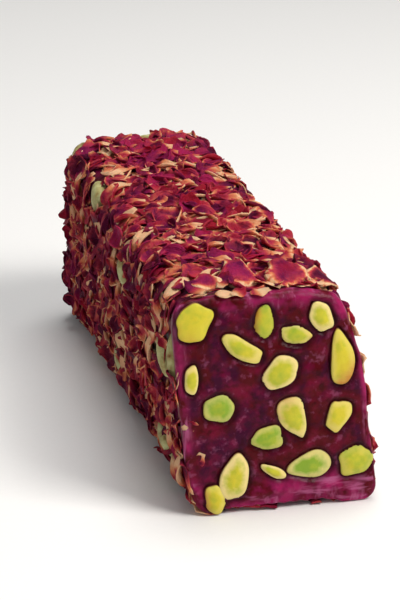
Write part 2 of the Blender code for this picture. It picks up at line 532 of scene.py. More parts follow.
def cut_kernel_mesh(kernel, number):
    """A half-buried kernel, as (points, faces, numbers): a gently domed section, and its back deep in the jelly."""
    rightward, upward, outward = cut_frame()
    middle = kernel.middle() + outward * kernel.proud
    spokes = 44
    edge_angles = [2 * math.pi * i / spokes for i in range(spokes)]
    edge = [kernel.outline(angle) for angle in edge_angles]
    depth = 0.42 * kernel.length
    dome = 0.65 * MM
    profile = [(share, dome * (1 - share**2), share * 0.8) for share in np.linspace(0.1, 0.92, 9)]
    profile += [(0.97, -0.05 * MM, 0.87), (1.0, -0.4 * MM, 1.0)]
    profile += [(math.cos(turn), -0.4 * MM - depth * math.sin(turn), 1.0) for turn in np.linspace(0.35, 1.35, 4)]
    rings, rim, blush = [], [], []
    for share, height, outer in profile:
        for i, (right, up) in enumerate(edge):
            towards_skin = math.cos(edge_angles[i] + kernel.tilt - kernel.blush_turn)
            blush.append(kernel.blush * share * float(smooth_step(0.0, 0.9, towards_skin)))
            waver = 1 + 0.05 * noise.noise(Vector((math.cos(edge_angles[i]), math.sin(edge_angles[i]), number * 3.7)))
            place = (rightward * right + upward * up) * share * waver
            bump = 0.2 * MM * (1 - share**4) * noise.noise((place + middle) / (2.6 * MM)) if share < 0.9 else 0.0
            point = middle + place + outward * (height + bump)
            rings.append(point)
            rim.append(outer)
    front = middle + outward * (dome + 0.2 * MM * noise.noise(middle / (2.6 * MM)))
    back = middle - outward * (depth + 0.4 * MM)
    points = rings + [front, back]
    count = len(points)
    numbers = {
        "rim": rim + [0.0, 1.0],
        "blush": blush + [0.0, 0.0],
        "ripe": [kernel.ripe] * count,
        "cream": [kernel.cream] * count,
    }
    front_number, back_number = len(rings), len(rings) + 1
    index = np.arange(len(profile) * spokes).reshape(len(profile), spokes)
    index = np.concatenate([index, index[:, :1]], axis=1)
    faces = grid_faces(index, flip=True)
    last = len(profile) - 1
    for i in range(spokes):
        faces.append([front_number, index[0, i], index[0, i + 1]])
        faces.append([back_number, index[last, i + 1], index[last, i]])
    return points, faces, numbers


def join_meshes(name, parts):
    """One mesh of several closed shapes, each (points, faces, {attribute: numbers})."""
    points, faces, numbers = [], [], {}
    for part_points, part_faces, part_numbers in parts:
        start = len(points)
        points += [tuple(point) for point in part_points]
        faces += [[start + int(corner) for corner in face] for face in part_faces]
        for key, values in part_numbers.items():
            numbers.setdefault(key, []).extend(values)
    mesh = bpy.data.meshes.new(name)
    mesh.from_pydata(points, [], faces)
    for key, values in numbers.items():
        store_numbers(mesh, key, values)
    turn_outwards(mesh)
    return mesh


def turn_outwards(mesh):
    """Points every face of a closed mesh out."""
    bm = bmesh.new()
    bm.from_mesh(mesh)
    bmesh.ops.recalc_face_normals(bm, faces=bm.faces)
    bm.to_mesh(mesh)
    bm.free()


# Jelly


def outside_kernels(points):
    """How far each point near the cut lies outside the edge of the nearest cut kernel, and that kernel's proudness."""
    rightward, upward, _ = (np.array(axis) for axis in cut_frame())
    nearest, proud = np.full(len(points), 1.0), np.zeros(len(points))
    for kernel in CUT_KERNELS:
        offset = points - np.array(kernel.middle())
        right, rise = offset @ rightward, offset @ upward
        edge = np.array([kernel.outline(turn) for turn in np.linspace(0, 2 * math.pi, 73)])
        edge_turn = np.unwrap(np.arctan2(edge[:, 1], edge[:, 0]))
        turn = np.arctan2(rise, right)
        turn = edge_turn[0] + (turn - edge_turn[0]) % (2 * math.pi)
        outside = np.hypot(right, rise) - np.interp(turn, edge_turn, np.hypot(edge[:, 0], edge[:, 1]))
        proud = np.where(outside < nearest, kernel.proud, proud)
        nearest = np.minimum(outside, nearest)
    return nearest, proud


def cut_relief(points, across, up, settings):
    """How far each point of the cut stands out of its plane: its crown, the knife's drag and the kernels' grooves."""
    inner = (1 - across**6) * (1 - up**6)
    relief = settings.crown * (1 - across**2) * (1 - up**2)
    drag = np.array([noise.noise(Vector((p[0] / (9 * MM), 4.1, p[2] / (3.2 * MM)))) for p in points])
    lumps = np.array([noise.noise(Vector((p[0] / (2.6 * MM), 9.7, p[2] / (2.4 * MM)))) for p in points])
    relief += inner * (0.28 * MM * drag + 0.2 * MM * lumps)
    wander = np.array([noise.noise(Vector((p[0] / (12 * MM), 1.3, 0.0))) for p in points])
    relief += settings.lip * np.exp(-(((up + 0.9 - 0.05 * wander) / 0.06) ** 2)) * (1 - across**6)
    outside, proud = outside_kernels(points)
    relief -= settings.groove * np.exp(-(((outside - 0.25 * MM) / (0.55 * MM)) ** 2)) * (outside > -0.2 * MM)
    relief -= (1.4 * MM - proud) * smooth_step(0.0, 1.0, (-outside - 0.1 * MM) / (0.6 * MM))
    return relief


def capped(border, first):
    """A square grid of vertices' numbers. Its border is a ring that is already made, and its inside starts at first."""
    n = CELLS_ON_SIDE
    index = np.zeros((n + 1, n + 1), int)
    index[1:-1, 1:-1] = first + np.arange((n - 1) ** 2).reshape(n - 1, n - 1)
    index[0, :-1], index[:-1, -1] = border[:n], border[n : 2 * n]
    index[-1, :0:-1], index[:0:-1, 0] = border[2 * n : 3 * n], border[3 * n :]
    return index


def tube_rings(settings):
    """The rings of the long sides and of the heel's edge, behind the rounded edge of the cut."""
    square = section_square()
    start = 3 * MM
    run = BAR_LENGTH - HALF_HEIGHT - (skin()[1][0] - BOX_LOW.y)
    rings = []
    for step in range(SECTIONS):
        along = blend(start, run, (step / SECTIONS) ** 1.1)
        rings.append(section_points(along, coat_depth(along, settings), square))
    for step in range(HEEL_SECTIONS + 1):
        rings.append(heel_points(step / HEEL_SECTIONS, settings.coat_depth, square))
    rings = np.array([smoothed_round(ring, 3) for ring in rings])
    for _ in range(2):
        rings[1:-1] = (rings[:-2] + 2 * rings[1:-1] + rings[2:]) / 4
    return list(rings)


def jelly_mesh(settings):
    """The whole body of jelly: the cut, its rounded edge, the long sides and the heel, on one gridded skin.

    Its vertices hold how thickly petals lie there, how near a cut kernel is, for the painted shade round it, and how
    near an edge or the cut's foot, for painted glow and painted highlights.
    """
    rings = list(cut_rings()) + tube_rings(settings)
    tube = np.concatenate(rings)
    sides = np.linspace(-1, 1, CELLS_ON_SIDE + 1)[1:-1]
    across, up = (grid.ravel() for grid in np.meshgrid(sides, sides))
    face = fill_square(rings[0])[1:-1, 1:-1].reshape(-1, 3)
    face = face + np.array(cut_frame()[2]) * cut_relief(face, across, up, settings)[:, None]
    heel_ring = heel_points(1.0, settings.coat_depth, np.stack([across, up], axis=1))
    points = np.concatenate([tube, face, heel_ring])

    tube_index = np.arange(len(tube)).reshape(len(rings), -1)
    face_index = capped(tube_index[0], len(tube))
    heel_index = capped(tube_index[-1], len(tube) + len(face))
    closed = np.concatenate([tube_index, tube_index[:, :1]], axis=1)
    faces = grid_faces(closed, flip=True) + grid_faces(face_index) + grid_faces(heel_index, flip=True)
    mesh = bpy.data.meshes.new("jelly")
    mesh.from_pydata(points.tolist(), [], faces)
    turn_outwards(mesh)

    _, (place, slope_x, slope_z) = skin()
    behind = points[:, 1] - place - slope_x * points[:, 0] - slope_z * (points[:, 2] - HALF_HEIGHT)
    # Painted shade: ring says how strongly the jelly is painted dark round each cut kernel, where shade falls into its
    # groove.
    ring = np.exp(-((np.maximum(outside_kernels(points)[0], 0) / (1.3 * MM)) ** 2)) * (behind < 1.5 * MM)
    top = points[:, 2] > BOX_HIGH.z - 5 * MM
    # Painted light: thin and foot say where the jelly is painted brighter, as light shines through it, and where
    # painted highlights streak it.
    thin = smooth_step(np.where(top, 9 * MM, 4 * MM), 1.0 * MM, behind)
    foot = np.zeros(len(points))
    on_face = slice(len(tube), len(tube) + len(face))
    thin[on_face] = smooth_step(0.84, 1.0, np.maximum(np.abs(across), np.abs(up)))
    foot[on_face] = smooth_step(-0.66, -0.84, up)
    store_numbers(mesh, "ring", ring)
    store_numbers(mesh, "thin", thin)
    store_numbers(mesh, "foot", foot)
    store_coats(mesh, behind, settings)
    return mesh


def store_coats(mesh, behind, settings):
    """Stores how thickly each kind of petal lies: none on the cut, sunken ones on the heel, and others elsewhere."""
    normals = np.array([tuple(vertex.normal) for vertex in mesh.vertices])
    heel = smooth_step(0.75, 0.95, normals[:, 1]) * (behind > BAR_LENGTH / 2)
    bare = np.where(normals[:, 2] > 0.5, settings.bare_top, settings.bare_side)
    under = np.where(normals[:, 2] < -0.7, 0.6, 1.0)
    on_top = smooth_step(0.8, 0.95, normals[:, 2])
    right = np.array([vertex.co.x for vertex in mesh.vertices])
    near_lips = on_top * smooth_step(-22 * MM, -19 * MM, right) * (1 - smooth_step(13 * MM, 17 * MM, behind))
    coat = np.clip((behind - bare) / (2 * MM), 0.0, 1.0) * under * (1 - heel) * (1 - 0.75 * near_lips)
    store_numbers(mesh, COAT, coat)
    store_numbers(mesh, SHREDS, np.clip((behind - 0.7 * bare) / (1 * MM), 0.0, 1.0) * under * (1 - 0.6 * heel))
    store_numbers(mesh, HEEL, heel)


def jelly_material(settings):
    """Starch jelly, boiled slowly with rose and berry syrup and set in a tray.

    It is dark and a little translucent, and its cut is moist and glossy. Its colour is painted brighter at its thin
    edges and its foot, as painted glow of light through it, and lilac painted highlights streak the cut's edges.
    """
    material, tree, shader = new_material("wine_starch_jelly")
    hue = fine_noise(tree, 7 * MM, detail=3.0)
    streaks = fine_noise(tree, 4 * MM, detail=4.0, offset=5.0)
    grain = fine_noise(tree, 1.2 * MM, detail=3.0, offset=3.0)
    deep = ramp(tree, hue, [(0.42, settings.deep_red), (0.56, settings.deep_purple)])
    bright_share = ramp(tree, streaks, [(0.44, colour("#000000")), (0.66, colour("#cccccc"))])
    body = mixed(tree, bright_share, deep, tuple(settings.bright))
    blotches = fine_noise(tree, 2.4 * MM, detail=4.0, offset=7.0)
    for slope, start, share, blotch in ((6.0, -3.4, 0.4, settings.highlight_and_blotch), (-7.0, 3.1, 0.6, settings.kernel_shade_and_blotch)):
        spread = calculate(tree, "MULTIPLY_ADD", blotches, slope, start, clamp=True)
        body = mixed(tree, calculate(tree, "MULTIPLY", spread, share), body, tuple(blotch))
    patchy = calculate(tree, "MULTIPLY_ADD", hue, 5.0, -2.0, clamp=True)
    # Painted glow of light through the thin jelly at the cut's edges and foot.
    edge = calculate(tree, "MAXIMUM", attribute(tree, "thin"), attribute(tree, "foot"))
    thin = calculate(tree, "MULTIPLY", edge, calculate(tree, "MULTIPLY", patchy, 0.85))
    body = mixed(tree, thin, body, tuple(settings.edge))
    # Painted highlight: lilac streaks along the cut's foot and sides stand in for light glancing off ridges of jelly.
    along_foot = fine_noise(tree, 2.6 * MM, detail=3.0, offset=11.0, stretch=(5.0, 1.0, 1.0))
    along_sides = fine_noise(tree, 2.6 * MM, detail=3.0, offset=12.0, stretch=(1.0, 1.0, 5.0))
    for bands, place in ((along_foot, "foot"), (along_sides, "thin")):
        highlight_and_blotch = calculate(tree, "MULTIPLY_ADD", bands, 8.0, -4.4, clamp=True)
        highlight_and_blotch = calculate(tree, "MULTIPLY", highlight_and_blotch, calculate(tree, "MULTIPLY", attribute(tree, place), 0.85))
        body = mixed(tree, highlight_and_blotch, body, tuple(settings.highlight_and_blotch))
    # Painted shade: the jelly is painted dark round each cut kernel.
    body = mixed(tree, calculate(tree, "MULTIPLY", attribute(tree, "ring"), 0.85), body, tuple(settings.kernel_shade_and_blotch))
    tree.links.new(body, shader.inputs["Base Color"])
    shader.inputs["Roughness"].default_value = 0.28
    shader.inputs["IOR"].default_value = 1.38
    shader.inputs["Specular IOR Level"].default_value = 0.12
    shader.inputs["Subsurface Weight"].default_value = 0.3
    shader.inputs["Subsurface Radius"].default_value = (1.0, 0.15, 0.25)
    shader.inputs["Subsurface Scale"].default_value = 2.0 * MM
    add_bump(tree, shader, grain, 0.3 * MM, 0.6)
    return material


class DELIGHT_OT_jelly(bpy.types.Operator):
    """Makes the body of jelly, with its clean cut and its rounded heel"""

    bl_idname = "delight.jelly"
    bl_label = "Jelly"

    def execute(self, context):
        settings = context.scene.delight_jelly
        mesh = jelly_mesh(settings)
        piece = new_piece("jelly", mesh, jelly_material(settings))
        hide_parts(NODE)
        return {"FINISHED"}


# Pistachios


def pistachio_material(settings):
    """Raw pistachio kernel, sliced by the knife: waxy yellow to green flesh, creamy next to its thin skin."""
    material, tree, shader = new_material("pistachio_flesh")
    mottle = fine_noise(tree, 1.8 * MM, detail=3.0, offset=1.0)
    uneven = calculate(tree, "SUBTRACT", mottle, 0.5)
    patches = calculate(tree, "SUBTRACT", fine_noise(tree, 5 * MM, detail=2.0, offset=6.0), 0.5)
    ripe = calculate(tree, "MULTIPLY_ADD", uneven, 0.8, attribute(tree, "ripe"))
    ripe = calculate(tree, "MULTIPLY_ADD", patches, 1.6, ripe)
    flesh = mixed(tree, ripe, tuple(settings.green), tuple(settings.yellow))
    radial = calculate(tree, "MULTIPLY_ADD", uneven, 0.3, attribute(tree, "rim"))
    radial = calculate(tree, "MULTIPLY_ADD", patches, 0.6, radial)
    pale_share = ramp(tree, radial, [(0.38, colour("#000000")), (0.66, colour("#ffffff"))])
    pale_share = calculate(tree, "MULTIPLY", pale_share, attribute(tree, "cream"))
    with_rim = mixed(tree, pale_share, flesh, tuple(settings.pale))
    blush = calculate(tree, "MULTIPLY_ADD", uneven, 1.2, attribute(tree, "blush"))
    blush = calculate(tree, "MULTIPLY", blush, attribute(tree, "blush"))
    with_blush = mixed(tree, blush, with_rim, tuple(settings.blush))
    skin_share = ramp(tree, attribute(tree, "rim"), [(0.84, colour("#000000")), (0.99, colour("#ffffff"))])
    tree.links.new(mixed(tree, skin_share, with_blush, tuple(settings.skin)), shader.inputs["Base Color"])
    shader.inputs["Roughness"].default_value = 0.45
    shader.inputs["IOR"].default_value = 1.47
    shader.inputs["Specular IOR Level"].default_value = 0.3
    shader.inputs["Subsurface Weight"].default_value = 0.15
    shader.inputs["Subsurface Radius"].default_value = (1.0, 0.8, 0.3)
    shader.inputs["Subsurface Scale"].default_value = 0.8 * MM
    add_bump(tree, shader, mottle, 0.3 * MM, 0.6)
    return material


def kernel_skin_material(settings):
    """Whole pistachio kernel in its papery skin: dull olive where it is rubbed, with brown and purple patches."""
    material, tree, shader = new_material("pistachio_skin")
    patches = fine_noise(tree, 4 * MM, detail=3.0, offset=4.0)
    wrinkles = fine_noise(tree, 1.1 * MM, detail=3.0, offset=9.0)
    stops = [(0.4, settings.dull_green), (0.54, settings.olive), (0.68, settings.skin)]
    rubbed = ramp(tree, patches, stops)
    worn = calculate(tree, "MULTIPLY_ADD", wrinkles, 2.0, -0.8, clamp=True)
    tree.links.new(mixed(tree, worn, rubbed, tuple(settings.olive)), shader.inputs["Base Color"])
    shader.inputs["Roughness"].default_value = 0.55
    shader.inputs["Specular IOR Level"].default_value = 0.15
    add_bump(tree, shader, wrinkles, 0.5 * MM, 0.8)
    return material


def whole_kernel(middle, lengthwise, outward, length, width, number):
    """A whole kernel as (points, faces): an egg with two blunt ridges, crumpled a little."""
    sideways = outward.cross(lengthwise).normalized()
    rings, spokes = 12, 18
    points = []
    for i in range(1, rings):
        turn = math.pi * i / rings
        for j in range(spokes):
            angle = 2 * math.pi * j / spokes
            ridge = 1 + 0.10 * math.cos(3 * angle) + 0.10 * noise.noise(Vector((turn, angle, number * 2.3)))
            reach = math.sin(turn) ** 0.85 * width / 2 * ridge * (1 + 0.18 * math.cos(turn))
            offset = lengthwise * (-math.cos(turn) * length / 2)
            offset += (sideways * math.cos(angle) + outward * math.sin(angle) * 0.86) * reach
            points.append(middle + offset)
    points += [middle - lengthwise * length / 2, middle + lengthwise * length / 2]
    index = np.arange((rings - 1) * spokes).reshape(rings - 1, spokes)
    index = np.concatenate([index, index[:, :1]], axis=1)
    faces = grid_faces(index)
    for j in range(spokes):
        faces.append([len(points) - 2, index[0, j + 1], index[0, j]])
        faces.append([len(points) - 1, index[-1, j], index[-1, j + 1]])
    return points, faces


# Kernels that show between the petals on the left side: how far behind the cut, how high, and how steeply they lie.
LEFT_KERNELS = (
    (21 * MM, 38 * MM, math.radians(65)),
    (10 * MM, 41 * MM, math.radians(80)),
    (24 * MM, 12 * MM, math.radians(15)),
    (68 * MM, 43 * MM, math.radians(28)),
    (105 * MM, 53 * MM, math.radians(17)),
    (79 * MM, 11 * MM, math.radians(30)),
)


def skin_kernels(settings, jelly):
    """Kernels that press out through the long sides and the heel. Petals keep clear of each one's ridge."""
    choose = random.Random(7)
    vertices = jelly.vertices
    coat = np.zeros(len(vertices), np.float32)
    jelly.attributes[COAT].data.foreach_get("value", coat)
    places = np.array([tuple(vertex.co) for vertex in vertices])
    parts, middles = [], []

    def press_in(vertex, lengthwise, buried, bare):
        """Presses one kernel into the jelly at this vertex, and keeps petals off its ridge, or all of it if bare."""
        nonlocal coat
        outward = vertex.normal.copy()
        lengthwise = (lengthwise - outward * lengthwise.dot(outward)).normalized()
        length = settings.length * choose.uniform(0.8, 1.05)
        width = settings.width * choose.uniform(0.85, 1.1)
        middle = vertex.co - outward * width * buried
        points, faces = whole_kernel(middle, lengthwise, outward, length, width, len(parts))
        parts.append((points, faces, {}))
        middles.append(vertex.co.copy())
        offset = places - np.array(middle)
        along = offset @ np.array(lengthwise)
        aside = np.sqrt(np.maximum((offset**2).sum(axis=1) - along**2, 0))
        close = (along / (0.45 * length)) ** 2 + (aside / (0.5 * width)) ** 2
        coat *= smooth_step(1.6 if bare else 0.4, 3.4 if bare else 1.5, close).astype(np.float32)

    left = np.array([vertex.normal.x < -0.8 for vertex in vertices])
    for behind, height, steepness in LEFT_KERNELS:
        wanted = np.array((0, skin()[1][0] + behind, height))
        distance = np.hypot(places[:, 1] - wanted[1], places[:, 2] - wanted[2]) + np.where(left, 0, 1)
        nearest = vertices[int(np.argmin(distance))]
        press_in(nearest, Vector((0, math.cos(steepness), math.sin(steepness))), 0.14, True)
    while len(parts) < settings.count:
        vertex = vertices[choose.randrange(len(vertices))]
        near_end = vertex.co.y < BOX_LOW.y + 0.8 * settings.length or vertex.normal.y > 0.7
        if coat[vertex.index] < 0.2 or vertex.normal.z < -0.5 or near_end:
            continue
        if any((vertex.co - other).length < 16 * MM for other in middles):
            continue
        direction = Vector([choose.gauss(0, 1) for _ in range(3)])
        press_in(vertex, direction, choose.uniform(0.28, 0.38), False)
    jelly.attributes[COAT].data.foreach_set("value", coat)
    return parts


class DELIGHT_OT_cut_kernels(bpy.types.Operator):
    """Sets the sliced pistachio kernels into the cut"""

    bl_idname = "delight.cut_kernels"
    bl_label = "Sliced pistachios"

    def execute(self, context):
        parts = [cut_kernel_mesh(kernel, number) for number, kernel in enumerate(CUT_KERNELS)]
        mesh = join_meshes("sliced_pistachios", parts)
        new_piece("sliced_pistachios", mesh, pistachio_material(context.scene.delight_kernels))
        return {"FINISHED"}


class DELIGHT_OT_skin_kernels(bpy.types.Operator):
    """Presses whole pistachio kernels out of the jelly's sides"""

    bl_idname = "delight.skin_kernels"
    bl_label = "Whole pistachios"

    def execute(self, context):
        settings = context.scene.delight_kernels
        mesh = join_meshes("whole_pistachios", skin_kernels(settings, bpy.data.objects["jelly"].data))
        new_piece("whole_pistachios", mesh, kernel_skin_material(settings))
        return {"FINISHED"}


# Petals


class PetalKind:
    """One kind of dried petal: its shape, how it lies on the jelly, and its colours.

    size is (smallest, largest) as shares of the petal length, and breadth its width as a share of its length. curl
    is how far it bends lengthwise, roll how far sideways, and hem how much further its tip and its sides roll up,
    all in radians. crumple is the height of its folds, ruffle the height of its wavy rim and spacing the least
    distance between two petals, in millimetres. tilt is how far its tip is raised, turn where its tip points (0
    along the bar, away from the cut) and lift how high it lies. claw is the pale share of its length, rim how pale
    its edges are, and back how pale its folded back is. coat names where such petals lie, or is None where each is laid
    at a listed place.
    """

    def __init__(
        self, name, shapes, grid, size, breadth, curl, roll, hem, crumple, ruffle, spacing, tilt, lift, claw, rim,
        back=0.0, turn=(-math.pi, math.pi), coat=COAT, roughness=0.5,
    ):
        self.name, self.shapes, self.grid = name, shapes, grid
        self.size, self.breadth, self.curl, self.roll, self.hem = size, breadth, curl, roll, hem
        self.crumple, self.ruffle, self.spacing = crumple * MM, ruffle * MM, spacing * MM
        self.tilt, self.turn, self.lift = tilt, turn, lift
        self.claw, self.rim, self.back = claw, rim, back
        self.coat, self.roughness = coat, roughness


PETAL_KINDS = (
    PetalKind(
        "broad_petals", 16, (7, 6), (0.75, 1.4), (0.65, 1.0), (-0.6, 0.5), (-0.7, 0.6), (-0.6, 1.6), crumple=0.9,
        ruffle=0.4, spacing=5.4, tilt=(-0.15, 0.2), lift=(0.0, 0.25), claw=0.32, rim=0.8,
    ),
    PetalKind(
        "cupped_petals", 14, (7, 7), (0.65, 1.05), (0.65, 0.95), (-0.3, 1.2), (0.3, 1.6), (0.5, 2.2), crumple=0.9,
        ruffle=0.6, spacing=6.0, tilt=(0.0, 0.38), lift=(0.05, 0.5), claw=0.35, rim=1.2, turn=(-1.4, 1.4),
    ),
    PetalKind(
        "curled_petals", 12, (8, 6), (0.8, 1.25), (0.35, 0.55), (-0.8, 0.6), (-2.8, 2.4), (0.0, 1.0), crumple=0.6,
        ruffle=0.4, spacing=7.5, tilt=(-0.15, 0.2), lift=(0.3, 0.8), claw=0.5, rim=0.5, back=0.6,
        turn=(0.9, 2.2),
    ),
    PetalKind(
        "petal_shreds", 10, (3, 3), (0.25, 0.5), (0.35, 0.8), (-0.6, 1.0), (0.0, 1.2), (0.0, 0.8), crumple=0.3,
        ruffle=0.2, spacing=6.0, tilt=(-0.3, 0.3), lift=(0.3, 0.9), claw=0.3, rim=0.5, coat=SHREDS,
    ),
    PetalKind(
        "heel_petals", 12, (6, 6), (0.65, 1.15), (0.6, 0.9), (-0.2, 0.5), (-0.4, 0.7), (-0.4, 0.9), crumple=0.8,
        ruffle=0.4, spacing=5.6, tilt=(-0.1, 0.25), lift=(0.0, 0.45), claw=0.22, rim=0.4, coat=HEEL,
        roughness=0.35,
    ),
)


LIP = PetalKind(
    "lip_petals", 0, (11, 12), (1.0, 1.0), (1.0, 1.2), (-0.2, 0.1), (-0.1, 0.3), (-1.5, -0.8), crumple=0.7,
    ruffle=0.7, spacing=0, tilt=(0, 0), lift=(0, 0), claw=0.0, rim=3.6, coat=None,
)
SUNK_BIT = PetalKind(
    "sunk_bits", 0, (6, 5), (1.0, 1.0), (0.5, 0.7), (0.4, 0.9), (0.3, 0.9), (-0.6, 0.4), crumple=1.2,
    ruffle=0.6, spacing=0, tilt=(0, 0), lift=(0, 0), claw=0.3, rim=1.0, coat=None,
)
BIT = PetalKind(
    "petal_bits", 0, (6, 5), (1.0, 1.0), (0.55, 0.8), (-0.4, 0.6), (-0.6, 0.9), (0.0, 0.9), crumple=0.7,
    ruffle=0.5, spacing=0, tilt=(0, 0), lift=(0, 0), claw=0.55, rim=1.2, coat=None,
)


class LaidPetal:
    """One petal that is laid at a listed place at the edge of the cut.

    right places its middle across the cut. On the top it lies behind the cut by so much, and turn says where its
    tip points, anticlockwise from away from the cut. On the face it lies up from the middle of the cut, and turn
    starts from straight up. Angles are in degrees and lengths in millimetres. tone sets its colours.
    """

    def __init__(self, kind, right, behind=None, up=0.0, turn=0.0, tilt=0.0, size=1.0, lift=0.3, tone=0.4):
        self.kind, self.right, self.up, self.size, self.lift, self.tone = kind, right * MM, up * MM, size, lift * MM, tone
        self.behind = None if behind is None else behind * MM
        self.turn, self.tilt = math.radians(turn), math.radians(tilt)

    def frame(self, jelly):
        """Where it lies on the jelly, as (place, its sideways, lengthwise and outward directions)."""
        rightward, upward, outward = cut_frame()
        guess = Vector((0, skin()[1][0], HALF_HEIGHT)) + rightward * self.right
        if self.behind is None:
            guess, start = guess + upward * self.up, upward
        else:
            guess, start = guess + upward * HALF_HEIGHT - outward * self.behind, Vector((0, 1, 0))
        place, normal, _, _ = jelly.find_nearest(guess)
        start = (start - normal * start.dot(normal)).normalized()
        lengthwise = start * math.cos(self.turn) + normal.cross(start) * math.sin(self.turn)
        return place + normal * self.lift, lengthwise.cross(normal), lengthwise, normal


# A wavy row of pale lips on the right of the cut's top edge, bits of petal before it, and bits on the cut's left edge.
LAID_PETALS = (
    LaidPetal(LIP, -17.5, behind=11.0, turn=165, tilt=-10, size=0.75, lift=1.6, tone=0.67),
    LaidPetal(LIP, -8.5, behind=12.6, turn=176, tilt=-18, size=1.15, lift=1.8, tone=0.80),
    LaidPetal(LIP, 4.5, behind=11.8, turn=190, tilt=-18, size=1.15, lift=2.0, tone=0.39),
    LaidPetal(LIP, 15.5, behind=12.6, turn=172, tilt=-10, size=0.9, lift=1.6, tone=0.12),
    LaidPetal(BIT, -20.5, behind=8.6, turn=25, tilt=12, size=0.8, lift=1.6, tone=0.42),
    LaidPetal(BIT, -12.6, behind=9.6, turn=-35, tilt=14, size=0.7, lift=1.7, tone=0.56),
    LaidPetal(BIT, -1.5, behind=8.2, turn=60, tilt=8, size=0.7, lift=1.2, tone=0.21),
    LaidPetal(BIT, 11.5, behind=8.0, turn=-50, tilt=8, size=0.75, lift=1.2, tone=0.40),
    LaidPetal(BIT, -14.6, behind=1.0, turn=80, size=0.5, lift=0.4, tone=0.40),
    LaidPetal(BIT, -10.6, behind=1.6, turn=-60, size=0.5, lift=0.3, tone=0.72),
    LaidPetal(BIT, -5.2, behind=1.0, turn=95, size=0.55, lift=0.4, tone=0.21),
    LaidPetal(BIT, -21.0, behind=4.2, turn=30, size=0.5, lift=0.3, tone=0.09),
    LaidPetal(BIT, 7.0, behind=3.4, turn=-80, size=0.4, lift=0.3, tone=0.80),
    LaidPetal(SUNK_BIT, -24.2, up=-4.6, turn=-80, size=0.42, lift=-0.2, tone=0.53),
    LaidPetal(SUNK_BIT, -22.8, up=-15.0, turn=150, size=0.6, lift=-0.3, tone=0.32),
)


def petal_outline(along):
    """Half the width of a rose petal along its length, as a share of its widest: a claw and a blunt tip."""
    past = np.maximum(0.0, (along - 0.6) / 0.4)
    return (0.4 + 0.6 * smooth_step(0.0, 0.5, along)) * np.sqrt(1 - 0.75 * past * past)


def swept(places, even, low_hem, high_hem):
    """Where places from -1 to 1 on a strip go when it bends evenly, and more at its two ends, as (forward, up)."""
    fine = np.linspace(-1, 1, 81)
    angle = even / 2 * fine + np.where(fine > 0, high_hem, low_hem) * fine**5
    between = (angle[:-1] + angle[1:]) / 2
    result = []
    for part in (np.cos(between), np.sin(between)):
        summed = np.concatenate([[0.0], np.cumsum(part)]) * (fine[1] - fine[0])
        result.append(np.interp(places, fine, summed - summed[40]))
    return result


def petal_shape(kind, number, settings):
    """One dried petal: a thin closed shell, bent, rolled at its rim and crumpled. Its claw is at -Y, its back at -Z."""
    choose = random.Random(f"{kind.name} {number}")
    rows, columns = kind.grid
    length = settings.length
    width = length * choose.uniform(*kind.breadth)
    along, across = (grid.ravel() for grid in np.meshgrid(
        np.linspace(0, 1, rows + 1), np.linspace(-1, 1, columns + 1), indexing="ij"
    ))
    twist, folds, phase = choose.uniform(-0.3, 0.3), choose.uniform(0.7, 1.5), choose.uniform(0, 6.28)
    shift = Vector([choose.uniform(0, 50) for _ in range(3)])
    torn = [noise.noise(Vector((math.copysign(3.1, t), s * 2.5, 0)) + shift) for s, t in zip(along, across)]
    reach = petal_outline(along) * (1 + 0.14 * np.array(torn)) * width / 2
    rounded_along = 2 * along - 1 - 0.3 * across**2 * along**3
    forward, rise = swept(rounded_along, choose.uniform(*kind.curl), 0.0, choose.uniform(*kind.hem))
    right, side_rise = swept(across, choose.uniform(*kind.roll), choose.uniform(*kind.hem), choose.uniform(*kind.hem))
    x, y = right * reach, forward * length / 2
    z = rise * length / 2 + side_rise * reach + twist * x * (along - 0.5)
    z += kind.ruffle * np.sin(folds * math.pi * across + phase) * along**2
    z += kind.ruffle * np.sin(folds * 2 * math.pi * along + phase) * across**2
    points = [Vector(point) for point in np.stack([x, y, z], axis=1)]
    points = np.array([point + noise.noise_vector(point / (6 * MM) + shift) * kind.crumple for point in points])
    points[:, 2] -= np.quantile(points[:, 2], 0.25)
    middle = points.reshape(rows + 1, columns + 1, 3)
    normal = np.cross(np.gradient(middle, axis=1), np.gradient(middle, axis=0))
    normal /= np.linalg.norm(normal, axis=2, keepdims=True)
    half = settings.thickness / 2
    index = np.arange(len(points)).reshape(rows + 1, columns + 1)
    under = index + index.size
    faces = grid_faces(index) + grid_faces(under, flip=True)
    rim = np.concatenate([index[0, :-1], index[:-1, -1], index[-1, :0:-1], index[:0:-1, 0]])
    for start, end in zip(rim, np.roll(rim, -1)):
        faces.append([int(start), int(start + index.size), int(end + index.size), int(end)])
    both = np.concatenate([(middle + normal * half).reshape(-1, 3), (middle - normal * half).reshape(-1, 3)])
    numbers = {"along": np.tile(along, 2), "across": np.tile(across, 2)}
    return join_meshes(f"{kind.name}_{number}", [(both, faces, numbers)])


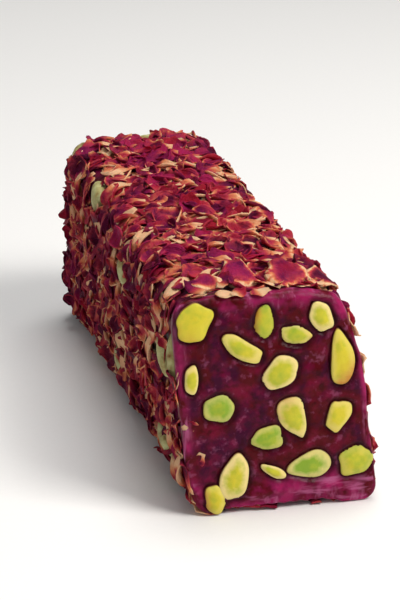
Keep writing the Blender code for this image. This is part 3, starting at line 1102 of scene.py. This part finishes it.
def petal_material(kind, settings):
    """Dried rose petal: a dry, matt, finely veined skin, cream at its claw and its curled rim, and red to wine. The
    pale rim is partly its own colour and partly painted highlight, and the blades on the bar's sides carry painted
    shade.
    """
    material, tree, shader = new_material(f"dried_rose_{kind.name}")
    tone = attribute(tree, "tone")
    # The tone's further digits give each petal a hue and a claw that don't follow how dark it is.
    hue = calculate(tree, "FRACT", calculate(tree, "MULTIPLY", tone, 31.7))
    age = calculate(tree, "FRACT", calculate(tree, "MULTIPLY", tone, 7.3))
    along = attribute(tree, "along")
    across = attribute(tree, "across")
    broad = fine_noise(tree, 11 * MM, detail=1.0, offset=8.0, stretch=(1.0, 1.0, 2.2))
    broad = calculate(tree, "SUBTRACT", broad, 0.5)
    faded, painted_side_shade = 1.0, 0.0
    if kind.coat:
        clusters = fine_noise(tree, 12 * MM, detail=1.0, offset=13.0, stretch=(1.0, 1.0, 2.2))
        faded = calculate(tree, "MULTIPLY_ADD", clusters, 4.4, -1.3, clamp=True)
        # Painted shade: the petals on the sides, which face away from the top, are painted darker, as if in shade.
        facing = add_node(tree, "ShaderNodeAttribute", {"attribute_name": "way"}).outputs["Vector"]
        upwards = add_node(tree, "ShaderNodeSeparateXYZ", inputs={0: facing}).outputs["Z"]
        painted_side_shade = calculate(tree, "MULTIPLY", calculate(tree, "SUBTRACT", 1.0, upwards, clamp=True), -0.3)
    uneven = calculate(tree, "SUBTRACT", fine_noise(tree, 3 * MM, detail=2.0), 0.5)
    shade = calculate(tree, "ADD", calculate(tree, "MULTIPLY_ADD", broad, 1.8, tone), uneven)
    shade = calculate(tree, "ADD", shade, painted_side_shade)
    reds = [(0.0, settings.wine), (0.38, settings.crimson), (1.0, settings.red)]
    purples = [(0.0, settings.wine), (0.38, settings.plum), (1.0, settings.magenta)]
    clustered = calculate(tree, "MULTIPLY_ADD", broad, 2.5, hue)
    red_share = calculate(tree, "MULTIPLY_ADD", clustered, 4.0, -1.95, clamp=True)
    blade = mixed(tree, red_share, ramp(tree, shade, purples), ramp(tree, shade, reds))

    reach = calculate(tree, "MULTIPLY", calculate(tree, "ADD", age, 0.4), calculate(tree, "MULTIPLY", faded, 1.5 * kind.claw))
    fade = calculate(tree, "SUBTRACT", calculate(tree, "MULTIPLY_ADD", uneven, 0.3, reach), along)
    claw_share = calculate(tree, "MULTIPLY_ADD", fade, 2.2, 0.35, clamp=True)
    aside = calculate(tree, "ABSOLUTE", across)
    # Pale rims: partly the petals' own paler edges, partly painted highlight where the rims catch light.
    edge = calculate(tree, "MAXIMUM", calculate(tree, "POWER", aside, 4.0), calculate(tree, "POWER", along, 6.0))
    broken = calculate(tree, "MULTIPLY_ADD", uneven, 4.0, 0.6, clamp=True)
    rim = calculate(tree, "MULTIPLY", calculate(tree, "MULTIPLY", broken, faded), calculate(tree, "MULTIPLY", age, kind.rim))
    rim_and_highlight_share = calculate(tree, "MULTIPLY", edge, rim, clamp=True)
    folded = calculate(tree, "MULTIPLY", calculate(tree, "SUBTRACT", 1.0, aside), calculate(tree, "ADD", age, 0.4))
    folded = calculate(tree, "MULTIPLY", folded, faded)
    back_share = calculate(tree, "MULTIPLY", folded, kind.back, clamp=True)
    share = calculate(tree, "MAXIMUM", claw_share, calculate(tree, "MAXIMUM", rim_and_highlight_share, back_share))
    body = blade
    for number, pale in enumerate((settings.salmon, settings.peach, settings.cream)):
        step = calculate(tree, "MULTIPLY_ADD", share, 3.0, -float(number), clamp=True)
        body = mixed(tree, step, body, tuple(pale))
    vein_place = add_node(
        tree, "ShaderNodeCombineXYZ", inputs={0: calculate(tree, "MULTIPLY", across, 9.0), 1: along, 2: tone}
    )
    veins = add_node(
        tree, "ShaderNodeTexNoise", inputs={"Vector": vein_place.outputs[0], "Scale": 1.6, "Detail": 2.0}
    ).outputs["Fac"]
    veined = mixed(tree, calculate(tree, "MULTIPLY", veins, 0.3), body, tuple(settings.wine))
    tree.links.new(veined, shader.inputs["Base Color"])
    shader.inputs["Roughness"].default_value = kind.roughness
    shader.inputs["Specular IOR Level"].default_value = 0.06
    shader.inputs["Subsurface Weight"].default_value = 0.25
    shader.inputs["Subsurface Radius"].default_value = (1.0, 0.25, 0.25)
    shader.inputs["Subsurface Scale"].default_value = 1.0 * MM
    wrinkles = fine_noise(tree, 2.0 * MM, detail=2.0, offset=2.0)
    ridged = calculate(tree, "ABSOLUTE", calculate(tree, "SUBTRACT", wrinkles, 0.5))
    add_bump(tree, shader, calculate(tree, "MULTIPLY_ADD", veins, 0.5, ridged), 0.9 * MM, 0.8)
    return material


SCATTER_INPUTS = (
    ("Coat", "NodeSocketString"),
    ("Shapes", "NodeSocketCollection"),
    ("Spacing", "NodeSocketFloat"),
    ("Seed", "NodeSocketInt"),
    ("Smallest", "NodeSocketFloat"),
    ("Largest", "NodeSocketFloat"),
    ("Least turn", "NodeSocketVector"),
    ("Most turn", "NodeSocketVector"),
    ("Lowest", "NodeSocketFloat"),
    ("Highest", "NodeSocketFloat"),
    ("Material", "NodeSocketMaterial"),
)


def stored(tree, geometry, name, value, kind="FLOAT"):
    """Stores a value on each point of a geometry, and gives the geometry back."""
    settings = {"data_type": kind, "domain": "POINT"}
    inputs = {"Geometry": geometry, "Name": name, "Value": value}
    return add_node(tree, "GeometryNodeStoreNamedAttribute", settings, inputs).outputs[0]


def recalled(tree, name, kind="FLOAT"):
    """A value that was stored on each point."""
    return add_node(tree, "GeometryNodeInputNamedAttribute", {"data_type": kind}, {"Name": name}).outputs[0]


def vectors(tree, operation, inputs, output=0):
    """One sum on vectors."""
    return add_node(tree, "ShaderNodeVectorMath", {"operation": operation}, inputs).outputs[output]


def wrapped(tree, skin_mesh, laid):
    """Wraps laid petals round the skin: each point keeps its height over the skin where its petal's middle lies."""
    root, way = recalled(tree, "root", "FLOAT_VECTOR"), recalled(tree, "way", "FLOAT_VECTOR")
    place = add_node(tree, "GeometryNodeInputPosition").outputs[0]
    height = vectors(tree, "DOT_PRODUCT", {0: vectors(tree, "SUBTRACT", {0: place, 1: root}), 1: way}, "Value")
    down = vectors(tree, "SCALE", {0: way, "Scale": height})
    level = vectors(tree, "SUBTRACT", {0: place, 1: down})
    nearest = add_node(
        tree, "GeometryNodeProximity", {"target_element": "FACES"}, {"Geometry": skin_mesh, "Sample Position": level}
    ).outputs["Position"]
    outward = add_node(
        tree,
        "GeometryNodeSampleNearestSurface",
        {"data_type": "FLOAT_VECTOR"},
        {"Mesh": skin_mesh, "Value": recalled(tree, "outward", "FLOAT_VECTOR"), "Sample Position": nearest},
    ).outputs["Value"]
    up = vectors(tree, "SCALE", {0: outward, "Scale": height})
    moved = {"Geometry": laid, "Position": vectors(tree, "ADD", {0: nearest, 1: up})}
    return add_node(tree, "GeometryNodeSetPosition", inputs=moved).outputs[0]


@functools.cache
def scatter_tree():
    """A geometry nodes tree that strews petals over a skin, as thickly as its coat says, and wraps them round it."""
    tree = bpy.data.node_groups.new("strew_petals", "GeometryNodeTree")
    tree.interface.new_socket(name="Geometry", in_out="OUTPUT", socket_type="NodeSocketGeometry")
    tree.interface.new_socket(name="Geometry", in_out="INPUT", socket_type="NodeSocketGeometry")
    for name, kind in SCATTER_INPUTS:
        tree.interface.new_socket(name=name, in_out="INPUT", socket_type=kind)
    given = add_node(tree, "NodeGroupInput").outputs
    normal = add_node(tree, "GeometryNodeInputNormal").outputs[0]
    skin_mesh = stored(tree, given["Geometry"], "outward", normal, "FLOAT_VECTOR")
    strewn = add_node(
        tree,
        "GeometryNodeDistributePointsOnFaces",
        {"distribute_method": "POISSON"},
        {
            "Mesh": skin_mesh,
            "Distance Min": given["Spacing"],
            "Density Max": 2e5,
            "Density Factor": recalled(tree, given["Coat"]),
            "Seed": given["Seed"],
        },
    ).outputs
    place = add_node(tree, "GeometryNodeInputPosition").outputs[0]
    rooted = stored(tree, strewn["Points"], "root", place, "FLOAT_VECTOR")
    rooted = stored(tree, rooted, "way", strewn["Normal"], "FLOAT_VECTOR")
    tone = add_node(tree, "FunctionNodeRandomValue", {"data_type": "FLOAT"}, {"Seed": 2}).outputs[1]
    toned = stored(tree, rooted, "tone", tone)
    # A random value keeps a set of sockets for each kind of value: 0 and 1 are the vector's, 2 and 3 the number's.
    lift = add_node(
        tree,
        "FunctionNodeRandomValue",
        {"data_type": "FLOAT"},
        {2: given["Lowest"], 3: given["Highest"], "Seed": 1},
    ).outputs[1]
    offset = vectors(tree, "SCALE", {0: strewn["Normal"], "Scale": lift})
    lifted = add_node(tree, "GeometryNodeSetPosition", inputs={"Geometry": toned, "Offset": offset})
    turn = add_node(
        tree,
        "FunctionNodeRandomValue",
        {"data_type": "FLOAT_VECTOR"},
        {0: given["Least turn"], 1: given["Most turn"], "Seed": 3},
    )
    turned = add_node(tree, "FunctionNodeEulerToRotation", inputs={0: turn.outputs[0]})
    upright = add_node(tree, "FunctionNodeAlignRotationToVector", {"axis": "Z"}, {"Vector": strewn["Normal"]})
    lengthwise = add_node(
        tree,
        "FunctionNodeAlignRotationToVector",
        {"axis": "Y", "pivot_axis": "Z"},
        {"Rotation": upright.outputs[0], "Vector": (0.0, 1.0, 0.0)},
    )
    rotation = add_node(
        tree,
        "FunctionNodeRotateRotation",
        {"rotation_space": "LOCAL"},
        {0: lengthwise.outputs[0], 1: turned.outputs[0]},
    )
    size = add_node(
        tree,
        "FunctionNodeRandomValue",
        {"data_type": "FLOAT"},
        {2: given["Smallest"], 3: given["Largest"], "Seed": 4},
    )
    shapes = add_node(
        tree,
        "GeometryNodeCollectionInfo",
        inputs={"Collection": given["Shapes"], "Separate Children": True, "Reset Children": True},
    )
    which = add_node(tree, "FunctionNodeRandomValue", {"data_type": "INT"}, {4: 0, 5: 1000, "Seed": 5})
    placed = add_node(
        tree,
        "GeometryNodeInstanceOnPoints",
        inputs={
            "Points": lifted.outputs[0],
            "Instance": shapes.outputs[0],
            "Pick Instance": True,
            "Instance Index": which.outputs[2],
            "Rotation": rotation.outputs[0],
            "Scale": size.outputs[1],
        },
    )
    real = add_node(tree, "GeometryNodeRealizeInstances", inputs={"Geometry": placed.outputs[0]})
    round_skin = wrapped(tree, skin_mesh, real.outputs[0])
    finished = add_node(
        tree, "GeometryNodeSetMaterial", inputs={"Geometry": round_skin, "Material": given["Material"]}
    )
    add_node(tree, "NodeGroupOutput", inputs={"Geometry": finished.outputs[0]})
    return tree


def strew(carrier, shapes, values):
    """Strews shapes over a carrier's mesh and returns the result as a plain mesh."""
    tree = scatter_tree()
    holder = bpy.data.objects.new("carrier", carrier)
    bpy.context.scene.collection.objects.link(holder)
    modifier = holder.modifiers.new("strew", "NODES")
    modifier.node_group = tree
    identifiers = {item.name: item.identifier for item in tree.interface.items_tree if item.in_out == "INPUT"}
    modifier[identifiers["Shapes"]] = shapes
    for name, value in values.items():
        modifier[identifiers[name]] = value
    depsgraph = bpy.context.evaluated_depsgraph_get()
    mesh = bpy.data.meshes.new_from_object(
        holder.evaluated_get(depsgraph), preserve_all_data_layers=True, depsgraph=depsgraph
    )
    bpy.data.objects.remove(holder)
    return mesh


def slice_at_cut(mesh):
    """Cuts off what reaches past the knife's plane, and closes each petal again."""
    _, (place, _, _) = skin()
    outward = cut_frame()[2]
    bm = bmesh.new()
    bm.from_mesh(mesh)
    point = Vector((0, place, HALF_HEIGHT)) - outward * 0.1 * MM
    front = [face for face in bm.faces if any((vertex.co - point).dot(outward) > 0 for vertex in face.verts)]
    geometry = set(front)
    for face in front:
        geometry.update(face.verts)
        geometry.update(face.edges)
    result = bmesh.ops.bisect_plane(
        bm, geom=list(geometry), plane_co=point, plane_no=outward, clear_outer=True, dist=1e-7
    )
    edges = [item for item in result["geom_cut"] if isinstance(item, bmesh.types.BMEdge)]
    bmesh.ops.holes_fill(bm, edges=edges, sides=0)
    bm.to_mesh(mesh)
    bm.free()


def press_on_board(mesh):
    """Presses what hangs under the bar flat between the jelly and the board, without closing its thickness."""
    count = len(mesh.vertices)
    points = np.zeros(count * 3)
    mesh.vertices.foreach_get("co", points)
    height = points[2::3]
    room = 1.4 * MM
    pressed = 0.08 * MM + (room - 0.08 * MM) * np.exp(np.minimum(height - room, 0.0) / room)
    points[2::3] = np.where(height < room, pressed, height)
    mesh.vertices.foreach_set("co", points)
    mesh.update()


def laid_petals(kind, settings):
    """The petals of one kind that are laid at listed places, as one mesh."""
    jelly = bpy.data.objects["jelly"]
    tree = BVHTree.FromObject(jelly, bpy.context.evaluated_depsgraph_get())
    parts = []
    for number, petal in enumerate(petal for petal in LAID_PETALS if petal.kind is kind):
        place, sideways, lengthwise, outward = petal.frame(tree)
        turned = Matrix((sideways, lengthwise, outward)).transposed() @ Matrix.Rotation(petal.tilt, 3, "X")
        shape = petal_shape(kind, number, settings)
        points = [place + turned @ (vertex.co * petal.size) for vertex in shape.vertices]
        faces = [list(face.vertices) for face in shape.polygons]
        numbers = {"tone": [petal.tone] * len(points)}
        for name in ("along", "across"):
            values = np.zeros(len(points), np.float32)
            shape.attributes[name].data.foreach_get("value", values)
            numbers[name] = values.tolist()
        parts.append((points, faces, numbers))
        bpy.data.meshes.remove(shape)
    return join_meshes(kind.name, parts)


def petal_shapes(kind, settings):
    """A hidden collection of this kind's different petals."""
    shapes = bpy.data.collections.new(kind.name)
    for number in range(kind.shapes):
        mesh = petal_shape(kind, number, settings)
        shapes.objects.link(bpy.data.objects.new(mesh.name, mesh))
    return shapes


def remove_shapes(shapes):
    """Removes the petals that the strewn ones were copied from."""
    for shape in list(shapes.objects):
        bpy.data.objects.remove(shape)
    bpy.data.collections.remove(shapes)


class DELIGHT_OT_petals(bpy.types.Operator):
    """Coats the jelly with dried rose petals: flat, cupped and rolled ones, and shreds"""

    bl_idname = "delight.petals"
    bl_label = "Rose petals"

    def execute(self, context):
        settings = context.scene.delight_petals
        jelly = bpy.data.objects["jelly"].data
        for number, kind in enumerate(PETAL_KINDS):
            shapes = petal_shapes(kind, settings)
            material = petal_material(kind, settings)
            values = {
                "Coat": kind.coat,
                "Spacing": kind.spacing,
                "Seed": settings.seed + number,
                "Smallest": kind.size[0],
                "Largest": kind.size[1],
                "Least turn": (kind.tilt[0], -0.1, kind.turn[0]),
                "Most turn": (kind.tilt[1], 0.1, kind.turn[1]),
                "Lowest": kind.lift[0] * settings.lift,
                "Highest": kind.lift[1] * settings.lift,
                "Material": material,
            }
            mesh = strew(jelly, shapes, values)
            remove_shapes(shapes)
            slice_at_cut(mesh)
            press_on_board(mesh)
            new_piece(kind.name, mesh, material)
        for kind in (LIP, BIT, SUNK_BIT):
            new_piece(kind.name, laid_petals(kind, settings), petal_material(kind, settings))
        return {"FINISHED"}


# Stage


def paper_material(settings):
    """Matt white card: an even, pale, unglossy ground."""
    material, tree, shader = new_material("matt_card")
    fibre = fine_noise(tree, 1.5 * MM, detail=2.0)
    floor = tuple(settings.floor)
    slightly_darker = tuple(channel * 0.97 for channel in floor[:3]) + (1.0,)
    tree.links.new(mixed(tree, fibre, floor, slightly_darker), shader.inputs["Base Color"])
    shader.inputs["Roughness"].default_value = 0.9
    shader.inputs["Specular IOR Level"].default_value = 0.2
    return material


def add_light(name, azimuth, elevation, distance, size, power, warmth):
    """A soft square light that looks at the bar from an azimuth and elevation in degrees."""
    light = bpy.data.lights.new(name, "AREA")
    light.shape = "SQUARE"
    light.size = size
    light.energy = power
    light.color = warmth
    lamp = bpy.data.objects.new(name, light)
    bpy.context.scene.collection.objects.link(lamp)
    back = direction_from(math.radians(azimuth), math.radians(elevation))
    lamp.location = BAR_MIDDLE + back * distance
    lamp.rotation_euler = back.to_track_quat("Z", "Y").to_euler()


def direction_from(azimuth, elevation):
    """The way from the bar to a viewer: azimuth 0 looks along +Y, and elevation is above the floor."""
    level = math.cos(elevation)
    return Vector((math.sin(azimuth) * level, -math.cos(azimuth) * level, math.sin(elevation)))


class DELIGHT_OT_stage(bpy.types.Operator):
    """Sets up the pale floor, the soft lights and the camera"""

    bl_idname = "delight.stage"
    bl_label = "Stage"

    def execute(self, context):
        settings = context.scene.delight_stage
        size = 4.0
        mesh = bpy.data.meshes.new("floor")
        corners = [(-size, -size, 0), (size, -size, 0), (size, size, 0), (-size, size, 0)]
        mesh.from_pydata(corners, [], [(0, 1, 2, 3)])
        mesh.materials.append(paper_material(settings))
        floor = bpy.data.objects.new("floor", mesh)
        context.scene.collection.objects.link(floor)

        add_light("key", 42, 48, 0.9, 0.35, 6.6, (1.0, 0.97, 0.93))
        add_light("top", 150, 78, 1.0, 0.5, 5, (1.0, 1.0, 1.0))
        add_light("fill", -30, 30, 1.2, 0.8, 1.2, (0.95, 0.97, 1.0))

        world = bpy.data.worlds.new("studio")
        world.use_nodes = True
        background = world.node_tree.nodes["Background"]
        background.inputs["Color"].default_value = (1.0, 1.0, 1.0, 1.0)
        background.inputs["Strength"].default_value = 0.2
        context.scene.world = world
        context.scene.view_settings.view_transform = "Standard"

        camera = bpy.data.cameras.new("camera")
        camera.lens = settings.lens
        camera.clip_start = 0.01
        camera.clip_end = 20.0
        viewer = bpy.data.objects.new("camera", camera)
        context.scene.collection.objects.link(viewer)
        back = direction_from(settings.azimuth, settings.elevation)
        viewer.location = BAR_MIDDLE + back * settings.distance
        viewer.rotation_euler = back.to_track_quat("Z", "Y").to_euler()
        context.scene.camera = viewer
        return {"FINISHED"}


# The panel


class DELIGHT_PT_panel(bpy.types.Panel):
    """Lists what the bar is made of"""

    bl_label = "Turkish Delight"
    bl_idname = "DELIGHT_PT_panel"
    bl_space_type = "VIEW_3D"
    bl_region_type = "UI"
    bl_category = "Turkish Delight"

    def draw(self, context):
        for settings_name in SETTINGS:
            box = self.layout.box()
            settings = getattr(context.scene, settings_name)
            for name in settings.__annotations__:
                box.prop(settings, name)
        for operator in OPERATORS:
            self.layout.operator(operator.bl_idname)


SETTINGS = {
    "delight_jelly": JellySettings,
    "delight_kernels": KernelSettings,
    "delight_petals": PetalSettings,
    "delight_stage": StageSettings,
}
OPERATORS = (
    DELIGHT_OT_jelly,
    DELIGHT_OT_cut_kernels,
    DELIGHT_OT_skin_kernels,
    DELIGHT_OT_petals,
    DELIGHT_OT_stage,
)


def register():
    for name, group in SETTINGS.items():
        bpy.utils.register_class(group)
        setattr(bpy.types.Scene, name, PointerProperty(type=group))
    for operator in OPERATORS:
        bpy.utils.register_class(operator)
    bpy.utils.register_class(DELIGHT_PT_panel)


def unregister():
    bpy.utils.unregister_class(DELIGHT_PT_panel)
    for operator in reversed(OPERATORS):
        bpy.utils.unregister_class(operator)
    for name, group in reversed(SETTINGS.items()):
        delattr(bpy.types.Scene, name)
        bpy.utils.unregister_class(group)


def main():
    register()
    bpy.ops.delight.jelly()
    bpy.ops.delight.cut_kernels()
    bpy.ops.delight.skin_kernels()
    bpy.ops.delight.petals()
    bpy.ops.delight.stage()


if __name__ == "__main__":
    main()
